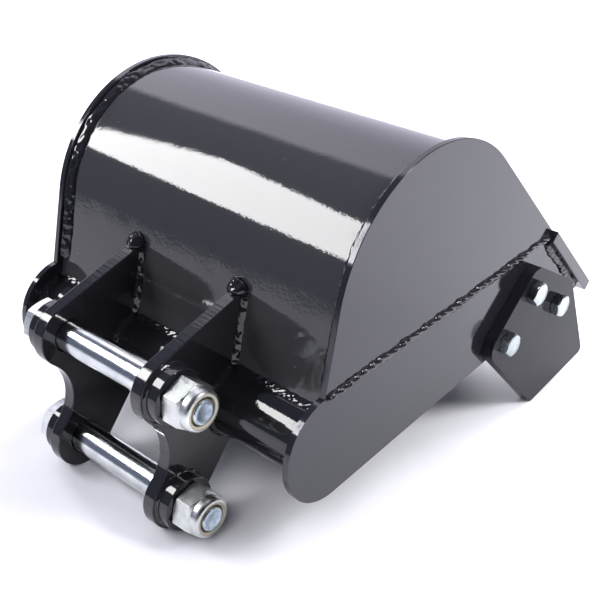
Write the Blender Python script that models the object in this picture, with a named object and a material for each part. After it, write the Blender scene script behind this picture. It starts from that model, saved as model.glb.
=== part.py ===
"""A 300 mm digging bucket for a one tonne excavator, with its two bucket pins fitted.

The bucket is drawn in side view, in metres: the first number runs from the ears towards the
cutting edge, the second runs up, and zero is the centre of the rolled back. Everything hangs on
one empty, which tips the drawing so that the ears and the side cutters stand on the floor.
+X is the right-hand side as the machine's driver sees it, and +Y runs towards the cutting edge.
"""

import math

import bmesh
import bpy
from mathutils import Vector

GAP = 0.0003

# Bucket body
BUCKET_WIDTH = 0.300
PLATE_THICKNESS = 0.005
BOWL_RADIUS = 0.109
BACK_FLAT_ANGLE = 167
FRONT_FLAT_ANGLE = 44
SHELL_INSET = 0.0062
SHELL_THICKNESS = 0.004
SEAM_MIDDLE = Vector((0.0047, -0.0286))
MOUTH_ANGLE = 6.4

# Torque tube, which joins the ears to the side plates
TUBE_CENTRE = Vector((-0.1152, -0.0790))
TUBE_RADIUS = 0.028
TUBE_WALL = 0.004
ROUND_END_RADIUS = 0.0418

# Cutting edge
EDGE_START = 0.1214
EDGE_END = 0.2232
EDGE_THICKNESS = 0.010
EDGE_OVERHANG = 0.006

# Ears and bosses
EAR_GAP = 0.099
EAR_THICKNESS = 0.011
UPPER_PIN_CENTRE = Vector((-0.1793, -0.0426))
LOWER_PIN_CENTRE = Vector((-0.1767, -0.1355))
LOBE_RADIUS = 0.025
SCALLOP_RADIUS = 0.038
EAR_TOP_SLOPE = 17
EAR_BACK_SLOPE = 50.2
BOSS_RADIUS = 0.0215
BOSS_LENGTH = 0.011
PIN_BORE_RADIUS = 0.0128

# Bucket pins and lock nuts
PIN_RADIUS = 0.0125
PIN_HEAD_FLATS = 0.0325
PIN_HEAD_LENGTH = 0.0125
PIN_HEAD_ANGLE = 10
THREAD_RADIUS = 0.0106
THREAD_END_RADIUS = 0.0093
LOCK_NUT_FLATS = 0.033
LOCK_NUT_HEX = 0.0165
LOCK_NUT_LENGTH = 0.0244
LOCK_NUT_COLLAR_RADIUS = 0.0158
LOCK_NUT_RIM_RADIUS = 0.0146
UPPER_NUT_ANGLE = 25
LOWER_NUT_ANGLE = 13
RING_RADIUS = 0.0131
RING_LENGTH = 0.0055

# Side cutters and their bolts
CUTTER_THICKNESS = 0.010
CUTTER_CORNERS = (
    (Vector((0.1287, -0.0286)), 0.016),
    (Vector((0.0645, -0.0846)), 0.014),
    (Vector((0.1427, -0.1680)), 0.004),
    (Vector((0.2280, -0.1530)), 0.005),
    (Vector((0.1907, -0.0656)), 0.004),
)
BOLT_CENTRES = (
    Vector((0.1252, -0.0508)),
    Vector((0.1663, -0.0789)),
    Vector((0.0903, -0.0834)),
)
BOLT_RADIUS = 0.006
BOLT_HOLE_RADIUS = 0.0063
BOLT_FLATS = 0.018
BOLT_HEAD_LENGTH = 0.0076
BOLT_NUT_LENGTH = 0.010
BOLT_STICK_OUT = 0.003
BOLT_ANGLES = (8, 33, 19)
WASHER_RADIUS = 0.012
WASHER_THICKNESS = 0.0025

# Facets in a full turn
BOWL_FACETS = 96
ROUND_FACETS = 36
SMALL_FACETS = 12

HALF_WIDTH = BUCKET_WIDTH / 2
EAR_INNER = EAR_GAP / 2
EAR_OUTER = EAR_INNER + EAR_THICKNESS
BOSS_END = EAR_OUTER + BOSS_LENGTH
SIDES = (("right", 1), ("left", -1))


# Drawing in side view


def direction(degrees):
    angle = math.radians(degrees)
    return Vector((math.cos(angle), math.sin(angle)))


def heading(vector):
    return math.degrees(math.atan2(vector.y, vector.x))


def arc(centre, radius, start, end, facets):
    """Points from one angle to another, in degrees, with the step that a full turn would have."""
    steps = max(1, round(abs(end - start) * facets / 360))
    turn = (end - start) / steps
    return [centre + radius * direction(start + i * turn) for i in range(steps + 1)]


def flat_point(flat_angle, height, distance):
    """A point at a height over the bowl's centre, and a distance down a flat from where it starts."""
    side = -1 if flat_angle < 90 else 1
    return height * direction(flat_angle) + distance * direction(flat_angle + side * 90)


def fillet(before, corner, after, radius):
    """The centre of a corner's rounding, and the angles of its two tangent points."""
    back = (before - corner).normalized()
    on = (after - corner).normalized()
    half = back.angle(on) / 2
    centre = corner + (back + on).normalized() * radius / math.sin(half)
    reach = radius / math.tan(half)
    return centre, heading(corner + back * reach - centre), heading(corner + on * reach - centre)


def rounded(corners):
    """An outline whose corners, given with their radii, are rounded."""
    outline = []
    for i, (corner, radius) in enumerate(corners):
        after = corners[(i + 1) % len(corners)][0]
        centre, start, end = fillet(corners[i - 1][0], corner, after, radius)
        turn = (end - start + 180) % 360 - 180
        outline += arc(centre, radius, start, start + turn, ROUND_FACETS)
    return outline


# Making bodies


def material(name, colour, metallic, roughness):
    made = bpy.data.materials.new(name)
    made.use_nodes = True
    shader = made.node_tree.nodes["Principled BSDF"]
    shader.inputs["Base Color"].default_value = (*colour, 1)
    shader.inputs["Metallic"].default_value = metallic
    shader.inputs["Roughness"].default_value = roughness
    return made


def finish_object(name, shape, look, location=(0, 0, 0)):
    bmesh.ops.recalc_face_normals(shape, faces=shape.faces)
    mesh = bpy.data.meshes.new(name)
    shape.to_mesh(mesh)
    shape.free()
    mesh.shade_smooth()
    mesh.set_sharp_from_angle(angle=math.radians(30))
    if look:
        mesh.materials.append(look)
    made = bpy.data.objects.new(name, mesh)
    made.location = location
    made.parent = drawing
    bpy.context.scene.collection.objects.link(made)
    return made


def plate(name, outline, low, high, look):
    """A flat plate with this side outline, between two values of X."""
    shape = bmesh.new()
    edge = [shape.verts.new((low, point.x, point.y)) for point in outline]
    face = shape.faces.new(edge)
    grown = bmesh.ops.extrude_face_region(shape, geom=[face])
    moved = [item for item in grown["geom"] if isinstance(item, bmesh.types.BMVert)]
    bmesh.ops.translate(shape, vec=(high - low, 0, 0), verts=moved)
    return finish_object(name, shape, look)


def spread(side, inner, outer):
    """The low and high X of a piece between two distances from the middle, on one side."""
    return min(side * inner, side * outer), max(side * inner, side * outer)


def reach(angle, radius, flats, corner_angle):
    """How far a section reaches at an angle, for a round section or a hexagon cut by a round one."""
    if not flats:
        return radius
    from_flat = (angle - corner_angle) % 60 - 30
    return min(radius, flats / 2 / math.cos(math.radians(from_flat)))


def turned(name, sections, facets, centre, look, corner_angle=0, hollow=False):
    """A body along X through sections of (x, radius, across flats), with no flats on a round one.
    A hollow body's sections go out along its outside and back along its bore."""
    shape = bmesh.new()
    rings = []
    for x, radius, flats in sections:
        ring = []
        for i in range(facets):
            angle = corner_angle + i * 360 / facets
            point = reach(angle, radius, flats, corner_angle) * direction(angle)
            ring.append(shape.verts.new((x, point.x, point.y)))
        rings.append(ring)
    pairs = list(zip(rings, rings[1:]))
    if hollow:
        pairs.append((rings[-1], rings[0]))
    for first, second in pairs:
        for i in range(facets):
            j = (i + 1) % facets
            shape.faces.new((first[i], first[j], second[j], second[i]))
    if not hollow:
        shape.faces.new(rings[0])
        shape.faces.new(rings[-1])
    return finish_object(name, shape, look, (0, centre.x, centre.y))


def drill(bodies, name, centre, radius, facets):
    """Cuts one round hole along X through each of these bodies."""
    length = HALF_WIDTH + 0.05
    cutter = turned(name, ((-length, radius, 0), (length, radius, 0)), facets, centre, None)
    cutter.hide_render = True
    cutter.display_type = "WIRE"
    for body in bodies:
        cut = body.modifiers.new(name, "BOOLEAN")
        cut.operation = "DIFFERENCE"
        cut.object = cutter


# The bucket's pieces


def rolled_shell():
    """One sheet, rolled from the torque tube over the top and down to the cutting edge."""
    outer = BOWL_RADIUS - SHELL_INSET
    inner = outer - SHELL_THICKNESS
    tube_distance = TUBE_CENTRE.dot(direction(BACK_FLAT_ANGLE + 90))
    back_end = tube_distance - TUBE_RADIUS - GAP
    front_end = EDGE_START - GAP
    centre = Vector((0, 0))
    outline = [flat_point(BACK_FLAT_ANGLE, outer, back_end)]
    outline += arc(centre, outer, BACK_FLAT_ANGLE, FRONT_FLAT_ANGLE, BOWL_FACETS)
    outline.append(flat_point(FRONT_FLAT_ANGLE, outer, front_end))
    outline.append(flat_point(FRONT_FLAT_ANGLE, inner, front_end))
    outline += arc(centre, inner, FRONT_FLAT_ANGLE, BACK_FLAT_ANGLE, BOWL_FACETS)
    outline.append(flat_point(BACK_FLAT_ANGLE, inner, back_end))
    end = HALF_WIDTH - PLATE_THICKNESS - GAP
    plate("rolled_shell", outline, -end, end, paint)


def notch():
    """Where the upper side plate's back edge meets the lower side plate's round end."""
    back_edge = BOWL_RADIUS - TUBE_CENTRE.dot(direction(BACK_FLAT_ANGLE))
    along = math.sqrt(ROUND_END_RADIUS**2 - back_edge**2)
    distance = TUBE_CENTRE.dot(direction(BACK_FLAT_ANGLE + 90)) - along
    return flat_point(BACK_FLAT_ANGLE, BOWL_RADIUS, distance)


def edge_back_corner():
    """The cutting edge's upper inner corner, where both side plates' front ends meet."""
    height = BOWL_RADIUS - EDGE_THICKNESS - GAP
    return flat_point(FRONT_FLAT_ANGLE, height, EDGE_START - GAP)


def upper_plate_outline():
    centre = Vector((0, 0))
    outline = [notch()]
    outline += arc(centre, BOWL_RADIUS, BACK_FLAT_ANGLE, FRONT_FLAT_ANGLE, BOWL_FACETS)
    outline.append(flat_point(FRONT_FLAT_ANGLE, BOWL_RADIUS, EDGE_START - GAP))
    outline.append(edge_back_corner())
    outline.append(SEAM_MIDDLE)
    return outline


def lower_plate_outline():
    """From the notch round the torque tube's end, along the mouth and back along the seam."""
    seam_drop = Vector((0, -GAP))
    start = heading(notch() + seam_drop - TUBE_CENTRE)
    end = 270 + MOUTH_ANGLE
    outline = arc(TUBE_CENTRE, ROUND_END_RADIUS, start % 360, end, ROUND_FACETS)
    mouth_run = direction(MOUTH_ANGLE)
    front = direction(FRONT_FLAT_ANGLE)
    height = BOWL_RADIUS - EDGE_THICKNESS - GAP
    run = (height - outline[-1].dot(front)) / mouth_run.dot(front)
    outline.append(outline[-1] + run * mouth_run)
    corner = edge_back_corner()
    outline.append(corner + GAP * direction(FRONT_FLAT_ANGLE - 90))
    outline.append(SEAM_MIDDLE + seam_drop)
    return outline


def side_plates():
    for word, side in SIDES:
        low, high = spread(side, HALF_WIDTH - PLATE_THICKNESS, HALF_WIDTH)
        plate(f"upper_side_plate_{word}", upper_plate_outline(), low, high, paint)
        lower = plate(f"lower_side_plate_{word}", lower_plate_outline(), low, high, paint)
        bolted.append(lower)


def torque_tube():
    end = HALF_WIDTH - PLATE_THICKNESS - GAP
    bore = TUBE_RADIUS - TUBE_WALL
    sections = ((-end, TUBE_RADIUS, 0), (end, TUBE_RADIUS, 0), (end, bore, 0), (-end, bore, 0))
    turned("torque_tube", sections, ROUND_FACETS, TUBE_CENTRE, paint, hollow=True)


def cutting_edge():
    """A flat bar across the mouth, proud of both side plates."""
    inner = BOWL_RADIUS - EDGE_THICKNESS
    corners = ((BOWL_RADIUS, EDGE_START), (BOWL_RADIUS, EDGE_END), (inner, EDGE_END), (inner, EDGE_START))
    outline = [flat_point(FRONT_FLAT_ANGLE, height, distance) for height, distance in corners]
    end = HALF_WIDTH + EDGE_OVERHANG
    plate("cutting_edge", outline, -end, end, paint)


def ear_outline():
    """Two round lobes with a scallop between them, and two straight edges back to the bucket."""
    between = LOWER_PIN_CENTRE - UPPER_PIN_CENTRE
    middle = (UPPER_PIN_CENTRE + LOWER_PIN_CENTRE) / 2
    reach_out = math.sqrt((LOBE_RADIUS + SCALLOP_RADIUS) ** 2 - (between.length / 2) ** 2)
    scallop = middle - reach_out * Vector((-between.y, between.x)).normalized()
    to_upper = heading(UPPER_PIN_CENTRE - scallop)
    to_lower = heading(LOWER_PIN_CENTRE - scallop)

    top_angle = EAR_TOP_SLOPE + 90
    outline = arc(LOWER_PIN_CENTRE, LOBE_RADIUS, EAR_BACK_SLOPE - 90, to_lower - 180, ROUND_FACETS)
    outline += arc(scallop, SCALLOP_RADIUS, to_lower, to_upper, ROUND_FACETS)[1:-1]
    outline += arc(UPPER_PIN_CENTRE, LOBE_RADIUS, to_upper + 180, top_angle, ROUND_FACETS)

    back = direction(BACK_FLAT_ANGLE)
    top_run = direction(EAR_TOP_SLOPE)
    height = BOWL_RADIUS - SHELL_INSET + GAP
    run = (height - outline[-1].dot(back)) / top_run.dot(back)
    outline.append(outline[-1] + run * top_run)

    radius = TUBE_RADIUS + GAP
    tube_height = height - TUBE_CENTRE.dot(back)
    tube_top = BACK_FLAT_ANGLE - math.degrees(math.acos(tube_height / radius))
    back_run = direction(EAR_BACK_SLOPE)
    across = direction(EAR_BACK_SLOPE - 90)
    tube_side = LOBE_RADIUS + (LOWER_PIN_CENTRE - TUBE_CENTRE).dot(across)
    tube_foot = heading(back_run) - 90 - math.degrees(math.acos(tube_side / radius))
    outline += arc(TUBE_CENTRE, radius, tube_top, tube_foot % 360, ROUND_FACETS)
    return outline


def ears():
    made = []
    for word, side in SIDES:
        low, high = spread(side, EAR_INNER, EAR_OUTER)
        made.append(plate(f"ear_{word}", ear_outline(), low, high, paint))
    drill(made, "upper_bore_cutter", UPPER_PIN_CENTRE, PIN_BORE_RADIUS, ROUND_FACETS)
    drill(made, "lower_bore_cutter", LOWER_PIN_CENTRE, PIN_BORE_RADIUS, ROUND_FACETS)


def bosses():
    """Round collars on the ears' outer faces, bored for the pins."""
    for word, side in SIDES:
        inner = side * (EAR_OUTER + GAP)
        outer = side * BOSS_END
        sections = (
            (inner, BOSS_RADIUS, 0),
            (outer, BOSS_RADIUS, 0),
            (outer, PIN_BORE_RADIUS, 0),
            (inner, PIN_BORE_RADIUS, 0),
        )
        for place, centre in (("upper", UPPER_PIN_CENTRE), ("lower", LOWER_PIN_CENTRE)):
            turned(f"{place}_boss_{word}", sections, ROUND_FACETS, centre, paint, hollow=True)


def bucket_pin(name, centre):
    """A shaft with a hexagon head on the left and a thread for the lock nut on the right."""
    head_corner = PIN_HEAD_FLATS / 2 / math.cos(math.radians(30))
    head_face = -BOSS_END - GAP
    head_top = head_face - PIN_HEAD_LENGTH
    shoulder = BOSS_END - GAP
    thread_end = BOSS_END + LOCK_NUT_LENGTH + 0.0006
    chamfer = 0.0014
    sections = (
        (head_top, head_corner - 0.0025, PIN_HEAD_FLATS),
        (head_top + chamfer, head_corner, PIN_HEAD_FLATS),
        (head_face, head_corner, PIN_HEAD_FLATS),
        (head_face, PIN_RADIUS, 0),
        (shoulder - chamfer, PIN_RADIUS, 0),
        (shoulder, THREAD_RADIUS, 0),
        (thread_end - chamfer, THREAD_RADIUS, 0),
        (thread_end, THREAD_END_RADIUS, 0),
    )
    turned(name, sections, ROUND_FACETS, centre, chrome, PIN_HEAD_ANGLE)


def lock_nut(name, ring_name, centre, corner_angle):
    """A hexagon nut whose round collar holds a nylon locking ring."""
    corner = LOCK_NUT_FLATS / 2 / math.cos(math.radians(30))
    base = BOSS_END + GAP
    hex_end = base + LOCK_NUT_HEX
    end = base + LOCK_NUT_LENGTH - GAP
    ring_start = end - RING_LENGTH
    bore = THREAD_RADIUS + GAP
    bevel = 0.0012
    sections = (
        (base, corner - 0.002, LOCK_NUT_FLATS),
        (base + bevel, corner, LOCK_NUT_FLATS),
        (hex_end - bevel, corner, LOCK_NUT_FLATS),
        (hex_end, LOCK_NUT_COLLAR_RADIUS, LOCK_NUT_FLATS),
        (end - 2 * bevel, LOCK_NUT_COLLAR_RADIUS, 0),
        (end, LOCK_NUT_RIM_RADIUS, 0),
        (end, RING_RADIUS + GAP, 0),
        (ring_start - GAP, RING_RADIUS + GAP, 0),
        (ring_start - GAP, bore, 0),
        (base, bore, 0),
    )
    turned(name, sections, ROUND_FACETS, centre, zinc, corner_angle, hollow=True)
    ring = (
        (ring_start, RING_RADIUS, 0),
        (end, RING_RADIUS, 0),
        (end, bore, 0),
        (ring_start, bore, 0),
    )
    turned(ring_name, ring, ROUND_FACETS, centre, nylon, hollow=True)


def side_cutters():
    for word, side in SIDES:
        low, high = spread(side, HALF_WIDTH + GAP, HALF_WIDTH + CUTTER_THICKNESS)
        bolted.append(plate(f"side_cutter_{word}", rounded(CUTTER_CORNERS), low, high, paint))


def cutter_fasteners():
    """At each hole a bolt with its head outside, and a washer and nut inside the bucket."""
    corner = BOLT_FLATS / 2 / math.cos(math.radians(30))
    seat = HALF_WIDTH + CUTTER_THICKNESS + GAP
    head_top = seat + BOLT_HEAD_LENGTH
    washer_face = HALF_WIDTH - PLATE_THICKNESS - GAP
    washer_end = washer_face - WASHER_THICKNESS
    nut_face = washer_end - GAP
    nut_end = nut_face - BOLT_NUT_LENGTH
    bolt_end = nut_end - BOLT_STICK_OUT
    bevel = 0.001
    for word, side in SIDES:
        bolt = (
            (side * head_top, corner - 0.0016, BOLT_FLATS),
            (side * (head_top - bevel), corner, BOLT_FLATS),
            (side * seat, corner, BOLT_FLATS),
            (side * seat, BOLT_RADIUS, 0),
            (side * bolt_end, BOLT_RADIUS, 0),
        )
        washer = (
            (side * washer_face, WASHER_RADIUS, 0),
            (side * washer_end, WASHER_RADIUS, 0),
            (side * washer_end, BOLT_HOLE_RADIUS, 0),
            (side * washer_face, BOLT_HOLE_RADIUS, 0),
        )
        nut = (
            (side * nut_face, corner, BOLT_FLATS),
            (side * nut_end, corner, BOLT_FLATS),
            (side * nut_end, BOLT_HOLE_RADIUS, 0),
            (side * nut_face, BOLT_HOLE_RADIUS, 0),
        )
        for i, centre in enumerate(BOLT_CENTRES):
            place = f"{word}_{i + 1}"
            angle = BOLT_ANGLES[i]
            turned(f"cutter_bolt_{place}", bolt, SMALL_FACETS, centre, zinc, angle)
            turned(f"cutter_washer_{place}", washer, SMALL_FACETS, centre, zinc, angle, hollow=True)
            turned(f"cutter_nut_{place}", nut, SMALL_FACETS, centre, zinc, angle, hollow=True)


# Standing the drawing on the floor


def place_drawing():
    """Tips the drawing until the ears' lower lobes and the cutters' lowest corners are level, then
    puts the origin on the floor under the middle of the bucket's box."""
    corners = [corner for corner, radius in CUTTER_CORNERS]
    radius = CUTTER_CORNERS[2][1]
    foot = fillet(corners[1], corners[2], corners[3], radius)[0]
    between = foot - LOWER_PIN_CENTRE
    drop = math.asin((radius - LOBE_RADIUS) / between.length)
    tilt = drop - math.atan2(between.y, between.x)
    turn = direction(math.degrees(tilt))

    def turned_to(point):
        return Vector((point.x * turn.x - point.y * turn.y, point.x * turn.y + point.y * turn.x))

    tip = turned_to(flat_point(FRONT_FLAT_ANGLE, BOWL_RADIUS, EDGE_END))
    rear = turned_to(UPPER_PIN_CENTRE).x
    rear = min(rear, turned_to(LOWER_PIN_CENTRE).x) - LOBE_RADIUS
    floor = turned_to(LOWER_PIN_CENTRE).y - LOBE_RADIUS
    drawing.rotation_euler.x = tilt
    drawing.location = (0, -(tip.x + rear) / 2, -floor)


for item in list(bpy.data.objects):
    bpy.data.objects.remove(item)

drawing = bpy.data.objects.new("drawing", None)
bpy.context.scene.collection.objects.link(drawing)
place_drawing()

paint = material("black_gloss_paint", (0.010, 0.010, 0.012), 0.0, 0.12)
chrome = material("bright_chrome", (0.80, 0.82, 0.85), 1.0, 0.16)
zinc = material("zinc_plate", (0.74, 0.75, 0.76), 1.0, 0.30)
nylon = material("nylon", (0.72, 0.69, 0.60), 0.0, 0.40)

bolted = []
rolled_shell()
side_plates()
torque_tube()
cutting_edge()
ears()
bosses()
bucket_pin("upper_pin", UPPER_PIN_CENTRE)
bucket_pin("lower_pin", LOWER_PIN_CENTRE)
lock_nut("upper_lock_nut", "upper_nylon_ring", UPPER_PIN_CENTRE, UPPER_NUT_ANGLE)
lock_nut("lower_lock_nut", "lower_nylon_ring", LOWER_PIN_CENTRE, LOWER_NUT_ANGLE)
side_cutters()
for number, hole_centre in enumerate(BOLT_CENTRES):
    drill(bolted, f"bolt_hole_cutter_{number + 1}", hole_centre, BOLT_HOLE_RADIUS, SMALL_FACETS)
cutter_fasteners()
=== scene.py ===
"""A small excavator's digging bucket in gloss black enamel, with zinc plated bolts and bright pins.

Each section makes one piece, or one group of like pieces, in the order that the bucket goes
together. Lengths are in metres. Shapes are drawn in side view: the first number runs from the
ears towards the cutting edge, the second runs up, and zero is the centre of the rolled back.
"""

import math
import random

import bmesh
import bpy
from mathutils import Euler, Matrix, Vector, noise


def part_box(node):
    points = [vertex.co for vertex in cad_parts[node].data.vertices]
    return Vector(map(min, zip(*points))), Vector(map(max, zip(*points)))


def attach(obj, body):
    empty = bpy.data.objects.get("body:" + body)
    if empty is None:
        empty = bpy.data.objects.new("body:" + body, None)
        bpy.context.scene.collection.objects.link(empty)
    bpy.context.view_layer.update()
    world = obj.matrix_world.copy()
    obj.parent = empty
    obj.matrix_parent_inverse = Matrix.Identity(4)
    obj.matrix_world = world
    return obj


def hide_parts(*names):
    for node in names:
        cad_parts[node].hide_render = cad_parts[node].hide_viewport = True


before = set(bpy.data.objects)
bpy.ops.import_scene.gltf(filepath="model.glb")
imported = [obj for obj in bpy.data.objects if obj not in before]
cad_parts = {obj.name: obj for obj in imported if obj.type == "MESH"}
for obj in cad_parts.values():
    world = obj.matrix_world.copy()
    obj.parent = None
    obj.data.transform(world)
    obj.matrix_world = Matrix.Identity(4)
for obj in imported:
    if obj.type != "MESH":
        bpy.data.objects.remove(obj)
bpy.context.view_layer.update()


# The bucket's stance. It lies mouth down on its ears and on the corners of its side cutters, so
# its drawing is tipped a little. The two pins give how far, and where the drawing stands.

UPPER_PIN_CENTRE = Vector((-0.1793, -0.0426))
LOWER_PIN_CENTRE = Vector((-0.1767, -0.1355))


def pin_place(node):
    """The centre, in side view, of a round piece of the frame."""
    low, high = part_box(node)
    return Vector(((low.y + high.y) / 2, (low.z + high.z) / 2))


def drawing_stance():
    """What tips and moves the drawing so that both pins fall where the frame has them."""
    between = pin_place("upper_nylon_ring") - pin_place("lower_nylon_ring")
    drawn = UPPER_PIN_CENTRE - LOWER_PIN_CENTRE
    tilt = math.atan2(between.y, between.x) - math.atan2(drawn.y, drawn.x)
    turn = Matrix.Rotation(tilt, 4, "X")
    foot = pin_place("lower_nylon_ring")
    shift = Vector((0, foot.x, foot.y)) - turn @ Vector((0, *LOWER_PIN_CENTRE))
    return Matrix.Translation(shift) @ turn


stance = drawing_stance()


# The view: from the ears' side, above the right-hand side plate, given in the drawing's own
# place and angles so that it keeps to the bucket.

CAMERA_PLACE = Vector((0.5320, -0.5619, 0.3650))
CAMERA_DOWN = 29.2
CAMERA_TURN = 42.49
CAMERA_LENS = 63.8

camera_data = bpy.data.cameras.new("camera")
camera_data.lens = CAMERA_LENS
camera = bpy.data.objects.new("camera", camera_data)
bpy.context.scene.collection.objects.link(camera)
aim = Euler((math.radians(90 - CAMERA_DOWN), 0, math.radians(CAMERA_TURN))).to_matrix()
camera.matrix_world = stance @ Matrix.Translation(CAMERA_PLACE) @ aim.to_4x4()
bpy.context.scene.camera = camera


# The studio: a pale paper floor, a tall softbox high on the left and a narrow one on the right
# that show in the gloss, plainer lamps all round, and a dark room that is bright behind the bucket.

FLOOR_FRONT = -0.95
FLOOR_REACH = 4.0
FLOOR_COLOUR = (0.82, 0.82, 0.87)
ROOM_DARK = (0.16, 0.18, 0.26)
ROOM_EDGE = (2.15, 2.08, 2.35)
ROOM_BACK = (1.22, 1.19, 1.42)
ROOM_RIGHT = 0.12


def studio_floor():
    shape = bmesh.new()
    corners = (
        (-FLOOR_REACH, FLOOR_FRONT),
        (FLOOR_REACH, FLOOR_FRONT),
        (FLOOR_REACH, FLOOR_REACH),
        (-FLOOR_REACH, FLOOR_REACH),
    )
    shape.faces.new([shape.verts.new((x, y, 0)) for x, y in corners])
    mesh = bpy.data.meshes.new("studio_floor")
    shape.to_mesh(mesh)
    shape.free()
    floor = bpy.data.objects.new("studio_floor", mesh)
    bpy.context.scene.collection.objects.link(floor)
    paper = bpy.data.materials.new("floor_paper")
    paper.use_nodes = True
    shader = paper.node_tree.nodes["Principled BSDF"]
    shader.inputs["Base Color"].default_value = (*FLOOR_COLOUR, 1)
    shader.inputs["Roughness"].default_value = 0.9
    shader.inputs["Specular IOR Level"].default_value = 0.1
    mesh.materials.append(paper)


def softbox(name, centre, turn, width, height, radiance, mirrored=True):
    """A flat lamp of this brightness. It is never seen itself, and shows in gloss if mirrored."""
    data = bpy.data.lights.new(name, "AREA")
    data.shape = "RECTANGLE"
    data.size = width
    data.size_y = height
    data.energy = radiance * math.pi * width * height
    lamp = bpy.data.objects.new(name, data)
    lamp.location = centre
    lamp.rotation_euler = [math.radians(angle) for angle in turn]
    lamp.visible_camera = False
    lamp.visible_glossy = mirrored
    bpy.context.scene.collection.objects.link(lamp)


def room():
    """White to the eye. In reflections it is dark in front, brightest where the back wall starts,
    and falls off to the right."""
    world = bpy.data.worlds.new("room")
    bpy.context.scene.world = world
    world.use_nodes = True
    nodes = world.node_tree.nodes
    links = world.node_tree.links
    nodes.clear()
    output = nodes.new("ShaderNodeOutputWorld")
    place = nodes.new("ShaderNodeTexCoord")
    split = nodes.new("ShaderNodeSeparateXYZ")
    ramp = nodes.new("ShaderNodeValToRGB")
    links.new(place.outputs["Generated"], split.inputs[0])
    links.new(split.outputs["Y"], ramp.inputs[0])
    stops = ramp.color_ramp.elements
    stops[0].position = 0.15
    stops[0].color = (*ROOM_DARK, 1)
    stops[1].position = 0.22
    stops[1].color = (*ROOM_EDGE, 1)
    back = stops.new(0.62)
    back.color = (*ROOM_BACK, 1)
    side = nodes.new("ShaderNodeMapRange")
    side.inputs["From Min"].default_value = 0.2
    side.inputs["From Max"].default_value = -0.1
    side.inputs["To Min"].default_value = ROOM_RIGHT
    links.new(split.outputs["X"], side.inputs["Value"])
    seen = nodes.new("ShaderNodeBackground")
    reflected = nodes.new("ShaderNodeBackground")
    seen.inputs[0].default_value = (1, 1, 1, 1)
    links.new(ramp.outputs[0], reflected.inputs[0])
    links.new(side.outputs[0], reflected.inputs[1])
    path = nodes.new("ShaderNodeLightPath")
    mix = nodes.new("ShaderNodeMixShader")
    links.new(path.outputs["Is Camera Ray"], mix.inputs[0])
    links.new(reflected.outputs[0], mix.inputs[1])
    links.new(seen.outputs[0], mix.inputs[2])
    links.new(mix.outputs[0], output.inputs[0])


studio_floor()
room()
softbox("key_softbox", (-0.82, -0.71, 1.06), (121.9, -9.5, -52.5), 0.54, 1.42, 16)
softbox("right_softbox", (1.05, 0.40, 0.95), (48, 0, 111), 0.36, 0.60, 15, False)
softbox("right_strip", (1.02, 0.39, 0.92), (48, 0, 111), 0.13, 0.60, 26)
softbox("front_softbox", (0.75, -1.35, 1.5), (45, 0, 29), 0.9, 0.7, 7, False)
softbox("left_softbox", (-2.4, 0.3, 1.3), (40, 0, -90), 0.8, 1.0, 16, False)
softbox("back_softbox", (-0.1, 2.5, 2.2), (0, 0, 0), 3.0, 2.0, 8.5, False)
softbox("far_softbox", (1.3, 1.5, 1.6), (42, 0, 145), 0.9, 0.8, 3, False)
bpy.context.scene.view_settings.view_transform = "Standard"


# The rolled shell: one sheet of 4 mm steel, rolled over the top of the bucket and sprayed, like
# everything welded to it, with gloss black enamel that dries to a fine orange peel.

BOWL_RADIUS = 0.109
BACK_FLAT_ANGLE = 167
FRONT_FLAT_ANGLE = 44
SHELL_INSET = 0.0062
SHELL_THICKNESS = 0.004
SHELL_OUTER = BOWL_RADIUS - SHELL_INSET
SHELL_INNER = SHELL_OUTER - SHELL_THICKNESS
TUBE_CENTRE = Vector((-0.1152, -0.0790))
TUBE_RADIUS = 0.028
EDGE_START = 0.1214
GAP = 0.0003
HALF_WIDTH = 0.150
PLATE_THICKNESS = 0.005
PLATE_INNER = HALF_WIDTH - PLATE_THICKNESS
ENAMEL = (0.0115, 0.0115, 0.0145)
# The shell's base colour is the black enamel made lighter: painted light, standing in for light that
# falls on its flats.
SHELL_PAINTED_LIGHT_SHADE = (0.0290, 0.0290, 0.0330)
DUST = (0.12, 0.12, 0.13)


def direction(degrees):
    angle = math.radians(degrees)
    return Vector((math.cos(angle), math.sin(angle)))


def heading(vector):
    return math.degrees(math.atan2(vector.y, vector.x))


def arc(centre, radius, start, end, step):
    """Points round an arc between two angles, in degrees, at about this step."""
    count = max(1, round(abs(end - start) / step))
    turn = (end - start) / count
    return [centre + radius * direction(start + i * turn) for i in range(count + 1)]


def flat_point(flat_angle, height, distance):
    """A point at a height over the bowl's centre, and a distance down a flat from where it starts."""
    side = -1 if flat_angle < 90 else 1
    return height * direction(flat_angle) + distance * direction(flat_angle + side * 90)


def node_group(name, inputs, outputs):
    """An empty shader group with these named sockets, its start and its end."""
    group = bpy.data.node_groups.new(name, "ShaderNodeTree")
    for socket, kind, value in inputs:
        made = group.interface.new_socket(socket, in_out="INPUT", socket_type=kind)
        made.default_value = value
    for socket, kind in outputs:
        group.interface.new_socket(socket, in_out="OUTPUT", socket_type=kind)
    return group, group.nodes.new("NodeGroupInput"), group.nodes.new("NodeGroupOutput")


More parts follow.
